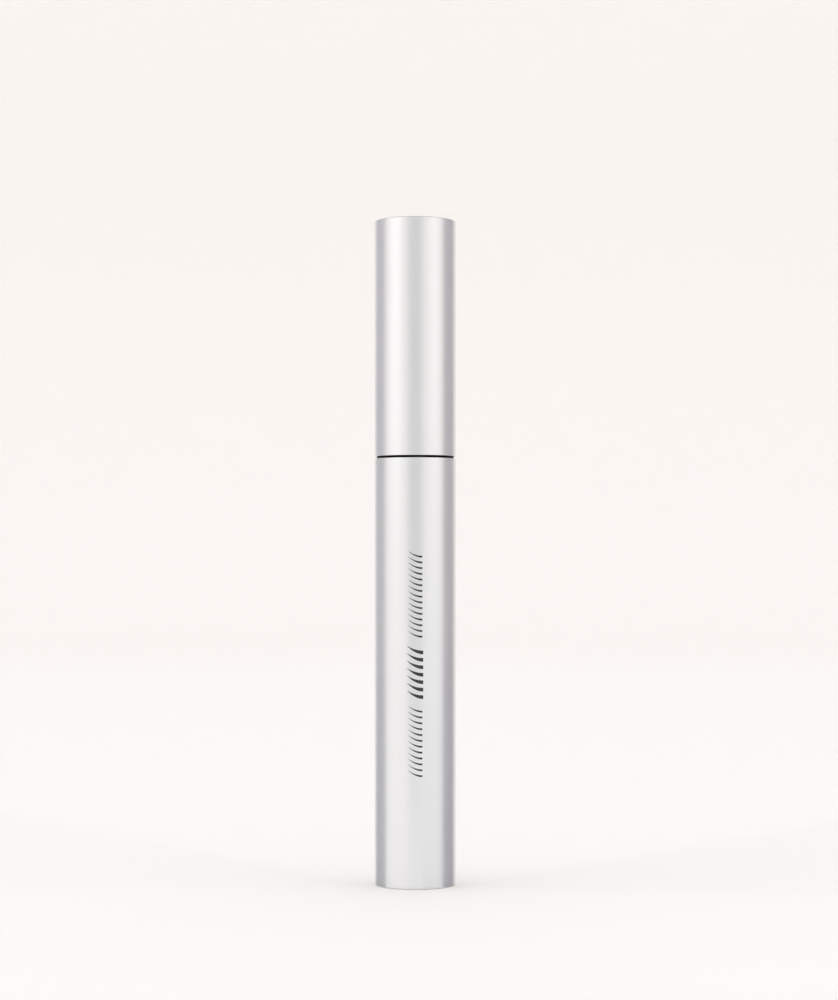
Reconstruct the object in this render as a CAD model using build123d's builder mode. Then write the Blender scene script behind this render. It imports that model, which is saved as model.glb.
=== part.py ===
from build123d import *

import os

# Mascara tube, in millimetres: an aluminium-clad bottle with a screw-on applicator cap.
# The origin is the centre of the base, +Z runs up the tube and -Y is the printed front.
# The bottle side is a drawn shell, a moulded inner bottle, a black shoulder collar, a wiper and
# the paste. The applicator side is a drawn shell, a moulded inner cap, a steel weight, a soft
# washer and the wand: a moulded stem, a twisted wire core and its bristles.

# ---- driving dimensions ----
tube_radius = 8.0  # outside of both aluminium shells
body_height = 83.78  # body shell, from the base to its rim
seam_gap = 0.44  # black line between the two shells
cap_height = 46.28  # cap shell, from its rim to its top
shell_wall = 0.5
end_round = 0.25  # outside corner at the top and at the base
rim_chamfer = 0.06  # cut edge of each shell
thread_pitch = 3.0
thread_turns = 1.45  # each ridge, so that a turn and a half frees the cap
stem_radius = 1.85
brush_length = 25.0
brush_radius = 3.5

# ---- heights and radii that follow ----
cap_rim_z = body_height + seam_gap
top_z = cap_rim_z + cap_height
shell_bore = tube_radius - shell_wall

dish_height = 0.3  # the base is dished, so that the tube stands on a ring
dish_radius = 6.2
dish_slope = 0.3
shell_floor_z = dish_height + shell_wall

glue_gap = 0.05  # radial room for glue between a moulding and its shell
fit_gap = 0.02  # radial room of a crimped or pressed fit
wiper_gap = 0.05  # radial room between the wiper and what passes through it
bottle_radius = 7.0
bottle_wall = 1.0
bottle_floor = 1.2
bottle_bore = bottle_radius - bottle_wall
bottle_floor_z = shell_floor_z + bottle_floor
shoulder_low_z = 80.6
shoulder_high_z = 82.9
neck_radius = 4.8
neck_bore = 3.7
lip_z = 94.6  # top of the neck

collar_under_z = 83.0
collar_skirt_z = 79.8
collar_top_gap = 0.03  # the cap's rim stops just above the collar
collar_top_z = cap_rim_z - collar_top_gap
collar_edge = 7.57  # set back inside the shells, so that it reads as a dark line

thread_height = 0.7  # ridge, from its root to its crest
thread_foot = 1.4  # ridge width at the root
thread_tip = 0.8  # ridge width at the crest
thread_sink = 0.2  # how far a ridge runs into its wall
neck_thread_z = 86.6  # centre of the neck ridge where it starts
thread_drop = 1.12  # the cap's ridge hooks this far under the neck's
cap_bore = 5.75

flange_thickness = 0.6
washer_thickness = 0.8
wiper_top_z = lip_z + flange_thickness
washer_top_z = wiper_top_z + washer_thickness
stem_flange = 1.0
deck_z = washer_top_z + stem_flange  # underside of the inner cap's deck
socket_radius = 3.5
socket_depth = 7.0
socket_top_z = deck_z + socket_depth
socket_wall = 1.3
socket_roof = 1.2
deck_thickness = 1.4
liner_radius = shell_bore - glue_gap
liner_bore = 6.25
weight_z = socket_top_z + socket_roof
weight_height = 6.0
weight_gap = 0.1
weight_radius = liner_bore - weight_gap

orifice_radius = stem_radius + wiper_gap
throat_radius = 2.75
plug_radius = 2.6  # thick part of the stem, which closes the wiper's throat
plug_low_z = 88.9
stem_tip_z = 35.4
wire_radius = 0.6
wire_low_z = 7.4
wire_grip = 8.2  # length of wire held inside the stem
brush_low_z = 8.6
brush_high_z = brush_low_z + brush_length

paste_top_z = 72.0
channel_gap = 0.3
channel_radius = brush_radius + channel_gap  # the brush leaves a channel in the thick paste


def thread_ridge(start_z, root_radius, outwards):
    """Sweeps one ridge of the screw thread and adds it to the part being built.

    The ridge is a trapezium that stands outwards (+1) or inwards (-1) from root_radius."""
    with BuildLine() as path:
        Helix(thread_pitch, thread_pitch * thread_turns, root_radius, center=(0, 0, start_z))
    helix = path.line
    with BuildSketch(Plane(origin=helix @ 0, x_dir=(1, 0, 0), z_dir=helix % 0)) as profile:
        Polygon(
            (-outwards * thread_sink, -thread_foot / 2),
            (0, -thread_foot / 2),
            (outwards * thread_height, -thread_tip / 2),
            (outwards * thread_height, thread_tip / 2),
            (0, thread_foot / 2),
            (-outwards * thread_sink, thread_foot / 2),
            align=None,
        )
    sweep(profile.sketch, path=helix, is_frenet=True)


os.makedirs("parts", exist_ok=True)

# ---- body shell: one drawn aluminium can with a dished base ----
with BuildPart() as body_shell:
    with BuildSketch(Plane.XZ) as body_outline:
        Polygon(
            (0, dish_height),
            (dish_radius, dish_height),
            (dish_radius + dish_slope, 0),
            (tube_radius, 0),
            (tube_radius, body_height),
            (shell_bore, body_height),
            (shell_bore, shell_wall),
            (dish_radius + dish_slope, shell_wall),
            (dish_radius, shell_floor_z),
            (0, shell_floor_z),
            align=None,
        )
        fillet(body_outline.vertices().group_by(Axis.Y)[0].sort_by(Axis.X)[-1], end_round)
        chamfer(body_outline.vertices().group_by(Axis.Y)[-1], rim_chamfer)
    revolve(axis=Axis.Z)
body_shell.part.label = "body_shell"
export_step(body_shell.part, "parts/body_shell.step")

# ---- base label: a round sticker inside the dish ----
label_radius = 5.8
label_thickness = 0.12
with BuildPart() as base_label:
    with BuildSketch(Plane.XY.offset(dish_height - label_thickness)):
        Circle(label_radius)
    extrude(amount=label_thickness)
base_label.part.label = "base_label"
export_step(base_label.part, "parts/base_label.step")

# ---- inner bottle: moulded vial with centring ribs and a threaded neck ----
rib_count = 6
rib_width = 1.0
rib_low_z = 4.0
rib_high_z = 78.0
bottle_corner = 0.8
with BuildPart() as inner_bottle:
    with BuildSketch(Plane.XZ) as bottle_outline:
        Polygon(
            (0, shell_floor_z),
            (bottle_radius, shell_floor_z),
            (bottle_radius, shoulder_low_z),
            (neck_radius, shoulder_high_z),
            (neck_radius, lip_z),
            (neck_bore, lip_z),
            (neck_bore, shoulder_high_z - bottle_wall),
            (bottle_bore, shoulder_low_z - bottle_wall),
            (bottle_bore, bottle_floor_z),
            (0, bottle_floor_z),
            align=None,
        )
        fillet(bottle_outline.vertices().group_by(Axis.Y)[0].sort_by(Axis.X)[-1], bottle_corner)
        fillet(bottle_outline.vertices().group_by(Axis.Y)[2].sort_by(Axis.X)[-1], bottle_corner)
    revolve(axis=Axis.Z)
    rib_inner = bottle_radius - thread_sink
    rib_outer = shell_bore - glue_gap
    with BuildSketch(Plane.XY.offset(rib_low_z)):
        with PolarLocations((rib_inner + rib_outer) / 2, rib_count):
            Rectangle(rib_outer - rib_inner, rib_width)
    extrude(amount=rib_high_z - rib_low_z)
    thread_ridge(neck_thread_z, neck_radius, 1)
inner_bottle.part.label = "inner_bottle"
export_step(inner_bottle.part, "parts/inner_bottle.step")

# ---- shoulder collar: black ring that closes the top of the body shell ----
collar_gap = 0.05
with BuildPart() as shoulder_collar:
    with BuildSketch(Plane.XZ):
        Polygon(
            (neck_radius + collar_gap, collar_under_z),
            (bottle_radius + collar_gap, collar_under_z),
            (bottle_radius + collar_gap, collar_skirt_z),
            (shell_bore - collar_gap, collar_skirt_z),
            (shell_bore - collar_gap, body_height),
            (collar_edge, body_height),
            (collar_edge, collar_top_z),
            (neck_radius + collar_gap, collar_top_z),
            align=None,
        )
    revolve(axis=Axis.Z)
shoulder_collar.part.label = "shoulder_collar"
export_step(shoulder_collar.part, "parts/shoulder_collar.step")

# ---- wiper: soft funnel that hangs in the neck by its flange ----
wiper_flange = 4.5
bead_height = 0.8
bead_slope = 0.4  # height over which a bead falls back to the barrel
barrel_low_z = 88.5
lip_low_z = 84.6
lip_wall = 0.45
lead_in = 0.35
with BuildPart() as wiper:
    with BuildSketch(Plane.XZ):
        Polygon(
            (throat_radius + lead_in, wiper_top_z),
            (wiper_flange, wiper_top_z),
            (wiper_flange, lip_z),
            (neck_bore, lip_z),
            (neck_bore, lip_z - bead_height),
            (neck_bore - wiper_gap, lip_z - bead_height - bead_slope),
            (neck_bore - wiper_gap, barrel_low_z + bead_height + bead_slope),
            (neck_bore, barrel_low_z + bead_height),
            (neck_bore - wiper_gap, barrel_low_z),
            (orifice_radius + lip_wall, lip_low_z + bead_height),
            (orifice_radius + lip_wall, lip_low_z),
            (orifice_radius, lip_low_z),
            (orifice_radius, lip_low_z + bead_height),
            (throat_radius, barrel_low_z),
            (throat_radius, wiper_top_z - lead_in),
            align=None,
        )
    revolve(axis=Axis.Z)
wiper.part.label = "wiper"
export_step(wiper.part, "parts/wiper.step")

# ---- mascara paste: thick product with the brush's channel down its middle ----
channel_low_z = 6.4
with BuildPart() as mascara_paste:
    with BuildSketch(Plane.XZ) as paste_outline:
        Polygon(
            (0, bottle_floor_z + fit_gap),
            (bottle_bore - fit_gap, bottle_floor_z + fit_gap),
            (bottle_bore - fit_gap, paste_top_z),
            (channel_radius, paste_top_z),
            (channel_radius, channel_low_z),
            (0, channel_low_z),
            align=None,
        )
        fillet(paste_outline.vertices().group_by(Axis.Y)[0].sort_by(Axis.X)[-1], bottle_corner)
    revolve(axis=Axis.Z)
mascara_paste.part.label = "mascara_paste"
export_step(mascara_paste.part, "parts/mascara_paste.step")

# ---- seal washer: soft ring round the stem, squeezed on the neck when the cap is closed ----
with BuildPart() as seal_washer:
    with BuildSketch(Plane.XY.offset(wiper_top_z)):
        Circle(wiper_flange)
        Circle(plug_radius + wiper_gap, mode=Mode.SUBTRACT)
    extrude(amount=washer_thickness)
seal_washer.part.label = "seal_washer"
export_step(seal_washer.part, "parts/seal_washer.step")

# ---- cap weight: steel slug, free to turn in the inner cap's pocket ----
weight_chamfer = 0.4
with BuildPart() as cap_weight:
    with BuildSketch(Plane.XY.offset(weight_z)):
        Circle(weight_radius)
    extrude(amount=weight_height)
    chamfer(cap_weight.edges(), weight_chamfer)
cap_weight.part.label = "cap_weight"
export_step(cap_weight.part, "parts/cap_weight.step")

# ---- cap shell: one drawn aluminium can, open downwards ----
with BuildPart() as cap_shell:
    with BuildSketch(Plane.XZ) as cap_outline:
        Polygon(
            (0, top_z),
            (tube_radius, top_z),
            (tube_radius, cap_rim_z),
            (shell_bore, cap_rim_z),
            (shell_bore, top_z - shell_wall),
            (0, top_z - shell_wall),
            align=None,
        )
        fillet(cap_outline.vertices().group_by(Axis.Y)[-1].sort_by(Axis.X)[-1], end_round)
        chamfer(cap_outline.vertices().group_by(Axis.Y)[0], rim_chamfer)
    revolve(axis=Axis.Z)
cap_shell.part.label = "cap_shell"
export_step(cap_shell.part, "parts/cap_shell.step")

# ---- inner cap: moulded liner with the female thread, the stem's socket and the weight's pocket ----
liner_rim_gap = 0.35  # the liner starts this far up inside the shell
liner_end_gap = 0.6  # and stops this far below the shell's roof
liner_low_z = cap_rim_z + liner_rim_gap
liner_high_z = top_z - shell_wall - liner_end_gap
snap_z = weight_z + weight_height + weight_gap  # a bead that the weight is snapped past
snap_height = 0.9
snap_depth = 0.3
web_count = 6
web_width = 0.9
with BuildPart() as inner_cap:
    with BuildSketch(Plane.XZ):
        Polygon(
            (cap_bore, liner_low_z),
            (liner_radius, liner_low_z),
            (liner_radius, liner_high_z),
            (liner_bore, liner_high_z),
            (liner_bore, snap_z + snap_height),
            (liner_bore - snap_depth, snap_z + snap_height / 2),
            (liner_bore, snap_z),
            (liner_bore, deck_z + deck_thickness),
            (socket_radius + socket_wall, deck_z + deck_thickness),
            (socket_radius + socket_wall, weight_z),
            (0, weight_z),
            (0, socket_top_z),
            (socket_radius, socket_top_z),
            (socket_radius, deck_z),
            (cap_bore, deck_z),
            align=None,
        )
    revolve(axis=Axis.Z)
    web_inner = socket_radius + socket_wall - thread_sink
    web_outer = liner_bore + thread_sink
    with BuildSketch(Plane.XY.offset(deck_z + deck_thickness - thread_sink)):
        with PolarLocations((web_inner + web_outer) / 2, web_count):
            Rectangle(web_outer - web_inner, web_width)
    extrude(amount=weight_z - deck_z - deck_thickness + thread_sink)
    thread_ridge(neck_thread_z - thread_drop, cap_bore, -1)
inner_cap.part.label = "inner_cap"
export_step(inner_cap.part, "parts/inner_cap.step")

# ---- wand stem: moulded rod with a plug, a sealing flange and a barbed spigot ----
stem_flange_radius = 4.9
barb_height = 0.15
barb_pitch = 1.7
spigot_radius = socket_radius - barb_height
barb_z = [deck_z + barb_pitch * (step + 1) for step in range(3)]
spigot_gap = 0.2
spigot_top_z = socket_top_z - spigot_gap
tip_radius = 1.5
tip_taper = 2.4
barb_points = [
    point
    for z in barb_z
    for point in ((spigot_radius, z - barb_pitch / 2), (socket_radius, z - barb_pitch / 2), (spigot_radius, z))
]
with BuildPart() as wand_stem:
    with BuildSketch(Plane.XZ):
        Polygon(
            (0, stem_tip_z + wire_grip),
            (wire_radius + fit_gap, stem_tip_z + wire_grip),
            (wire_radius + fit_gap, stem_tip_z),
            (tip_radius, stem_tip_z),
            (stem_radius, stem_tip_z + tip_taper),
            (stem_radius, plug_low_z),
            (plug_radius, plug_low_z + plug_radius - stem_radius),
            (plug_radius, washer_top_z),
            (stem_flange_radius, washer_top_z),
            (stem_flange_radius, deck_z),
            (spigot_radius, deck_z),
            *barb_points,
            (spigot_radius, spigot_top_z),
            (0, spigot_top_z),
            align=None,
        )
    revolve(axis=Axis.Z)
wand_stem.part.label = "wand_stem"
export_step(wand_stem.part, "parts/wand_stem.step")

# ---- brush wire: the two twisted strands, as the round bar that they fill ----
wire_end_round = 0.48
with BuildPart() as brush_wire:
    with BuildSketch(Plane.XY.offset(wire_low_z)):
        Circle(wire_radius)
    extrude(amount=stem_tip_z + wire_grip - fit_gap - wire_low_z)
    fillet(brush_wire.edges().group_by(Axis.Z)[0], wire_end_round)
brush_wire.part.label = "brush_wire"
export_step(brush_wire.part, "parts/brush_wire.step")

# ---- brush bristles: the tapered outline that the filaments are trimmed to ----
bristle_tip = 2.1
bristle_root = 2.8
belly_z = brush_low_z + 0.55 * brush_length  # the widest place, just above the middle
with BuildPart() as brush_bristles:
    with BuildSketch(Plane.XZ):
        with BuildLine():
            side = ThreePointArc(
                (bristle_root, brush_high_z),
                (brush_radius, belly_z),
                (bristle_tip, brush_low_z),
            )
            Polyline(
                side @ 1,
                (wire_radius + fit_gap, brush_low_z),
                (wire_radius + fit_gap, brush_high_z),
                side @ 0,
            )
        make_face()
    revolve(axis=Axis.Z)
brush_bristles.part.label = "brush_bristles"
export_step(brush_bristles.part, "parts/brush_bristles.step")
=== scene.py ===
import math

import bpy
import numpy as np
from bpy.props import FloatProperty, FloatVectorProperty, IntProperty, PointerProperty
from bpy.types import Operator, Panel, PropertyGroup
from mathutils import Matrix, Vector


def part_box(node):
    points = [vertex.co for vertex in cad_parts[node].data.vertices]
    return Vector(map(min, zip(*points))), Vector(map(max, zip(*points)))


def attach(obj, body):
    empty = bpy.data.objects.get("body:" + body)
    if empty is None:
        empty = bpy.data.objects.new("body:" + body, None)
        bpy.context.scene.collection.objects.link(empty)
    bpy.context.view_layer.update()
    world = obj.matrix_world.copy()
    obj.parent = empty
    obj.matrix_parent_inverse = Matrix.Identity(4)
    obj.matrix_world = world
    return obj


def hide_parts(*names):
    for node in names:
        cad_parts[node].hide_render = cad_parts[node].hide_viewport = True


bl_info = {
    "name": "Mascara Tube",
    "version": (1, 0, 0),
    "blender": (4, 5, 0),
    "location": "View3D > Sidebar > Mascara",
    "description": "Builds the finished surfaces of a mascara tube round its CAD frame",
    "category": "Add Mesh",
}

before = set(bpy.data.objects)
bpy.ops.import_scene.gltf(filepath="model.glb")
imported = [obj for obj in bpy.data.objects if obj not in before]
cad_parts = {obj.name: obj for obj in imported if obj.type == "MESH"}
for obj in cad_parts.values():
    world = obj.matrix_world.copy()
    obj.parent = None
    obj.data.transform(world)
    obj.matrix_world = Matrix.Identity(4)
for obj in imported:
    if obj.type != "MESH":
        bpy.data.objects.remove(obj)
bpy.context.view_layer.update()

# ---- sizes, in millimetres; a mesh is turned to metres when it is made ----
MM = 0.001
TURN = 2 * math.pi
TINY = 1e-6
HOLD = 0.03  # a run keeps a point this far inside each end, so that its shading stays flat


def span(node):
    """Lowest height, highest height and largest radius of a CAD node, in millimetres."""
    low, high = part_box(node)
    return low.z / MM, high.z / MM, high.x / MM


BODY_LOW, BODY_HIGH, TUBE_RADIUS = span("body_shell")
CAP_LOW, CAP_HIGH, _ = span("cap_shell")
COLLAR_LOW, COLLAR_HIGH, COLLAR_RADIUS = span("shoulder_collar")
BOTTLE_LOW, LIP, RIB_RADIUS = span("inner_bottle")
WIPER_LOW, WIPER_HIGH, WIPER_FLANGE = span("wiper")
PASTE_LOW, PASTE_HIGH, PASTE_RADIUS = span("mascara_paste")
LINER_LOW, LINER_HIGH, LINER_RADIUS = span("inner_cap")
WASHER_LOW, WASHER_HIGH, WASHER_RADIUS = span("seal_washer")
SLUG_LOW, SLUG_HIGH, SLUG_RADIUS = span("cap_weight")
STEM_LOW, STEM_HIGH, STEM_FLANGE = span("wand_stem")
WIRE_LOW, WIRE_HIGH, WIRE_RADIUS = span("brush_wire")
BRUSH_LOW, BRUSH_HIGH, BRUSH_RADIUS = span("brush_bristles")
LABEL_LOW, LABEL_HIGH, LABEL_RADIUS = span("base_label")

SHELL_WALL = 0.5
DISH_RADIUS = 6.2
DISH_SLOPE = 0.3
DISH_HEIGHT = LABEL_HIGH
SHELL_BORE = TUBE_RADIUS - SHELL_WALL

PRINT_ROWS = ((22.0, 35.6), (37.3, 47.2), (49.0, 65.6))
FINE_REACH = 2.75
BOLD_REACH = 3.1
INK_FILM = 0.015
STROKE_RISE = 0.4  # of a stroke's reach
STROKE_TIP = 0.1  # of its width at the root
STROKE_STEPS = 25

BOTTLE_RADIUS = 7.0
BOTTLE_BORE = 6.0
BOTTLE_FLOOR = 1.2
SHOULDER_LOW = 80.6
SHOULDER_HIGH = 82.9
NECK_RADIUS = 4.8
NECK_BORE = 3.7
RIB_COUNT = 6
RIB_WIDTH = 1.0
RIB_ENDS = (4.0, 78.0)

COLLAR_UNDER = 83.0
COLLAR_INSIDE = 4.85
SKIRT_INSIDE = 7.05
SKIRT_OUTSIDE = 7.45

PITCH = 3.0
THREAD_TURNS = 1.45
THREAD_HEIGHT = 0.7
THREAD_FOOT = 1.4
THREAD_TIP = 0.8
NECK_THREAD = 86.6
CAP_THREAD = 85.48
THREAD_SINK = 0.2  # how far a ridge runs into its wall
THREAD_SKIN = 0.02  # where it has no height, a ridge lies this far under the wall's surface
THREAD_RUNOUT = 0.1
THREAD_STEPS = 260
THREAD_COLUMNS = 21
CAP_BORE = 5.75
PARTING_WIDTH = 0.1
PARTING_HEIGHT = 0.03

DECK = 97.0
DECK_THICKNESS = 1.4
SOCKET_RADIUS = 3.5
SOCKET_HIGH = 104.0
SOCKET_WALL = 1.3
LINER_BORE = 6.25
SNAP_DEPTH = 0.3
SNAP_HEIGHT = 0.9
WEB_COUNT = 6
WEB_WIDTH = 0.9

STRAND_GAP = 0.004

STEM_RADIUS = 1.85
STEM_TIP_RADIUS = 1.5
STEM_TAPER = 2.4
STEM_BORE = 0.62
WIRE_GRIP = 8.2
PLUG_RADIUS = 2.6
PLUG_LOW = 88.9
SPIGOT_RADIUS = 3.35
BARB_PITCH = 1.7

ORIFICE_RADIUS = 1.9
THROAT_RADIUS = 2.75
WIPER_BARREL = 3.65
BARREL_LOW = 88.5

CHANNEL_RADIUS = 3.8
CHANNEL_LOW = 6.4

HIDDEN_FACETS = 160  # round each turned piece that the shells hide
PASTE_FACETS = 120

SWEEP_RADIUS = 1700
SWEEP_COVE = 400
SWEEP_HIGH = 900
SWEEP_FACETS = 96
CARD_LIFT = 0.1  # a card lies this far above the floor
CARD_COLUMNS = 25
CARD_ROWS = 13
UPRIGHT_ROWS = 9
FLAG_BEND = 690  # from here a flag bends up
FLAG_FAR = 700
FLAG_HIGH = 900
TUBE_SIDE = 0.15  # from the tube to the near edge of a card on the floor
OVERHEAD_HALF = 700
OVERHEAD_HIGH = 1000


def linear(code):
    """An sRGB hex colour as linear red, green and blue."""
    channels = [int(code[i : i + 2], 16) / 255 for i in (1, 3, 5)]
    return [c / 12.92 if c <= 0.04045 else ((c + 0.055) / 1.055) ** 2.4 for c in channels]


def smooth(share):
    """The smooth step: 3 s squared minus 2 s cubed, with s held between 0 and 1."""
    share = np.clip(share, 0, 1)
    return share * share * (3 - 2 * share)


# ---- what a user would change ----
def length(name, text, value, low=0.0, high=1.0):
    """A length property. Its default is given in millimetres and kept in metres."""
    return FloatProperty(
        name=name, description=text, default=value * MM, min=low, max=high, precision=5, unit="LENGTH"
    )


def colour(name, text, code):
    """A colour property from an sRGB hex code."""
    return FloatVectorProperty(
        name=name, description=text, default=linear(code), min=0, max=1, size=3, subtype="COLOR"
    )


class MascaraSizes(PropertyGroup):
    facets: IntProperty(
        name="Facets", description="Facets round each turned piece", default=240, min=24, max=480
    )
    end_round: length("End rounding", "Outside corner at the top and at the base", 0.25)
    rim_round: length("Rim rounding", "Cut edge of each shell at the seam", 0.07)
    print_fine: length("Fine stroke", "Width of a fine printed stroke at its root", 0.36)
    print_bold: length("Bold stroke", "Width of a bold printed stroke at its root", 0.72)
    fine_pitch: length("Fine pitch", "Height from one fine stroke to the next", 1.1)
    bold_pitch: length("Bold pitch", "Height from one bold stroke to the next", 1.45)
    thread_fade: FloatProperty(
        name="Thread fade", description="Turn over which a thread rises and dies away",
        default=math.radians(55), min=0.1, max=3, subtype="ANGLE",
    )
    wire_pitch: length("Wire twist", "Length of one full twist of the wire", 1.9)
    bristle_rows: IntProperty(
        name="Bristles", description="Filaments held in the wire", default=1500, min=50, max=4000
    )
    bristle_width: length("Filament", "Thickness of one nylon filament at its root", 0.1)


class MascaraColours(PropertyGroup):
    aluminium: colour("Aluminium", "Clear anodised aluminium, satin", "#eff1f3")
    ink: colour("Ink", "Screen ink of the front print", "#2c2c2e")
    collar: colour("Collar", "Black ABS of the shoulder collar", "#0c0c0d")
    bottle: colour("Bottle", "Black polypropylene of the inner bottle", "#151516")
    wiper: colour("Wiper", "Natural low-density polyethylene", "#e9e6dd")
    liner: colour("Inner cap", "Natural polypropylene", "#e6e6e1")
    foam: colour("Washer", "Expanded polyethylene", "#efeeea")
    stem: colour("Stem", "Black acetal of the wand", "#101011")
    wire: colour("Wire", "Stainless steel wire", "#c8c6c1")
    nylon: colour("Bristles", "Black nylon filament", "#0b0b0c")
    zinc: colour("Weight", "Zinc-plated steel", "#c3c7ca")
    paste: colour("Paste", "Carbon-black mascara paste", "#070708")
    label: colour("Label", "White polypropylene film of the base label", "#dcdcda")
    floor: colour("Floor", "Painted plywood sweep of the studio", "#faf7f5")


class MascaraStudio(PropertyGroup):
    lens: FloatProperty(
        name="Lens", description="Focal length on a 36 mm sensor", default=86.28, unit="CAMERA"
    )
    camera_away: length("Camera distance", "From the tube's axis to the camera", 472.0)
    camera_high: length("Camera height", "Height of the level camera above the floor", 64.0)
    camera_aside: length("Camera offset", "How far the camera stands to the tube's right", 0.73)
    camera_rise: FloatProperty(
        name="Camera rise", description="Rise of the lens, as a share of the frame's height", default=0.0593
    )
    sky: FloatProperty(
        name="Sky", description="Strength of the light tent overhead", default=1.06, min=0, max=5
    )


# ---- shapes: points as an array in millimetres, with their four-sided and three-sided faces ----
def outline(corners, closed=False, steps=6):
    """A section through (radius, height, rounding) corners, with the material on its left.

    A rounded corner is the arc that touches both of its sides: its points turn evenly about the
    arc's centre, from the direction of one side to the direction of the next."""
    places = np.array([corner[:2] for corner in corners], float)
    arcs = []
    for i, corner in enumerate(corners):
        rounding = corner[2] if len(corner) > 2 else 0
        if not rounding:
            arcs.append(places[i : i + 1])
            continue
        enter = places[i] - places[i - 1]
        leave = places[(i + 1) % len(places)] - places[i]
        enter = enter / np.hypot(*enter)
        leave = leave / np.hypot(*leave)
        bend = math.atan2(enter[0] * leave[1] - enter[1] * leave[0], enter @ leave)
        start = places[i] - enter * rounding * math.tan(abs(bend) / 2)
        spoke = math.copysign(rounding, bend) * np.array([enter[1], -enter[0]])
        angle = np.linspace(0, bend, steps + 1)
        turned = np.stack(
            [
                np.cos(angle) * spoke[0] - np.sin(angle) * spoke[1],
                np.sin(angle) * spoke[0] + np.cos(angle) * spoke[1],
            ],
            axis=1,
        )
        arcs.append(start - spoke + turned)
    points = []
    for arc, following in zip(arcs, arcs[1:] + (arcs[:1] if closed else [])):
        points.append(arc)
        run = following[0] - arc[-1]
        distance = np.hypot(*run)
        if distance > 6 * HOLD:
            inset = run * HOLD / distance
            points.append(np.stack([arc[-1] + inset, following[0] - inset]))
    if not closed:
        points.append(arcs[-1])
    return np.concatenate(points)


def column(radius, low, high, step):
    """Evenly spaced points up or down a straight wall."""
    count = max(2, round(abs(high - low) / step) + 1)
    return np.stack([np.full(count, radius), np.linspace(low, high, count)], axis=1)


def grid_faces(rows, columns, loop):
    """The faces between neighbouring rings of a grid whose columns close on themselves."""
    row = np.arange(rows if loop else rows - 1)[:, None]
    after = (row + 1) % rows
    here = np.arange(columns)[None, :]
    beside = (here + 1) % columns
    row, after = row * columns, after * columns
    return np.stack([row + here, row + beside, after + beside, after + here], axis=-1).reshape(-1, 4)


def capped(rings, ends):
    """Rings that follow each other, as one skin that closes at each end on a point."""
    rows, columns = rings.shape[:2]
    here = np.arange(columns)
    beside = (here + 1) % columns
    first = rows * columns
    last = first - columns
    start = np.stack([np.full(columns, first), beside, here], axis=1)
    end = np.stack([last + here, last + beside, np.full(columns, first + 1)], axis=1)
    points = np.concatenate([rings.reshape(-1, 3), ends])
    return points, grid_faces(rows, columns, False), np.concatenate([start, end])


def lathe(section, facets, relief=None):
    """Turns a section round Z.

    Point (i, j) stands at height z_i, at the angle a_j = j of the facets, and at the distance
    r_i + relief(a_j, z_i, r_i) from the axis. A section that starts and ends on the axis is
    closed there by one point at each end, and any other section is a loop."""
    on_axis = section[0, 0] == 0 and section[-1, 0] == 0
    rings = section[1:-1] if on_axis else section
    radius, height = rings[:, :1], rings[:, 1:]
    angle = np.arange(facets)[None, :] * TURN / facets
    reach = radius + (relief(angle, height, radius) if relief else 0 * angle)
    points = np.stack([reach * np.cos(angle), reach * np.sin(angle), height + 0 * angle], axis=-1)
    if on_axis:
        return capped(points, [[0, 0, section[0, 1]], [0, 0, section[-1, 1]]])
    return points.reshape(-1, 3), grid_faces(len(rings), facets, True), np.zeros((0, 3), int)


def sleeve(centre, radius, outwards, sides):
    """A round bar along a line. Point (i, j) stands at c_i + r_i (cos a_j u_i + sin a_j v_i), where
    v_i is square to the line and to the outward direction, and u_i is square to the line and v_i.
    Both ends close on a point of the line."""
    along = np.gradient(centre, axis=0)
    along /= np.linalg.norm(along, axis=1, keepdims=True)
    across = np.cross(along, outwards)
    across /= np.linalg.norm(across, axis=1, keepdims=True)
    upright = np.cross(across, along)
    angle = np.arange(sides)[None, :, None] * TURN / sides
    ring = np.cos(angle) * upright[:, None] + np.sin(angle) * across[:, None]
    return capped(centre[:, None] + radius[:, None, None] * ring, centre[[0, -1]])


def thread(start, root, side, fade):
    """One ridge of the screw thread: a section carried along a helix.

    The section stands full over the tip's width and falls by smooth steps to the root over the
    foot's, and is closed inside the wall. Along the helix its height rises and dies by smooth steps
    over the angle fade. side is 1 for a ridge round a neck and -1 for a ridge inside a cap."""
    along = np.linspace(0, THREAD_TURNS * TURN, THREAD_STEPS)[:, None]
    ends = smooth(along / fade) * smooth((along[-1] - along) / fade)
    across = -side * np.linspace(-0.5, 0.5, THREAD_COLUMNS) * (THREAD_FOOT + THREAD_RUNOUT)
    full = smooth((THREAD_FOOT / 2 - np.abs(across)) / ((THREAD_FOOT - THREAD_TIP) / 2))
    stand = THREAD_HEIGHT * ends * full - THREAD_SKIN
    stand = np.concatenate([stand, np.full((len(along), 2), -THREAD_SINK)], axis=1)
    height = start + PITCH * along / TURN + np.concatenate([across, across[[-1, 0]]])
    radius = root + side * stand
    rings = np.stack([radius * np.cos(along), radius * np.sin(along), height], axis=-1)
    return capped(rings, rings[[0, -1]].mean(axis=1))


def fins(count, inner, outer, low, high, width):
    """Flat ribs that stand evenly round the axis: bars from the inner to the outer radius."""
    turn = np.arange(count) * TURN / count
    out = np.stack([np.cos(turn), np.sin(turn), 0 * turn], axis=-1)[:, None, None]
    side = np.stack([-np.sin(turn), np.cos(turn), 0 * turn], axis=-1)[:, None, None]
    reach = np.array([inner, outer])[None, :, None, None]
    offset = np.array([-1, 1, 1, -1])[None, None, :, None] * width / 2
    rise = np.array([low, low, high, high])[None, None, :, None]
    return slab(out * reach + side * offset + np.array([0, 0, 1]) * rise)


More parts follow.
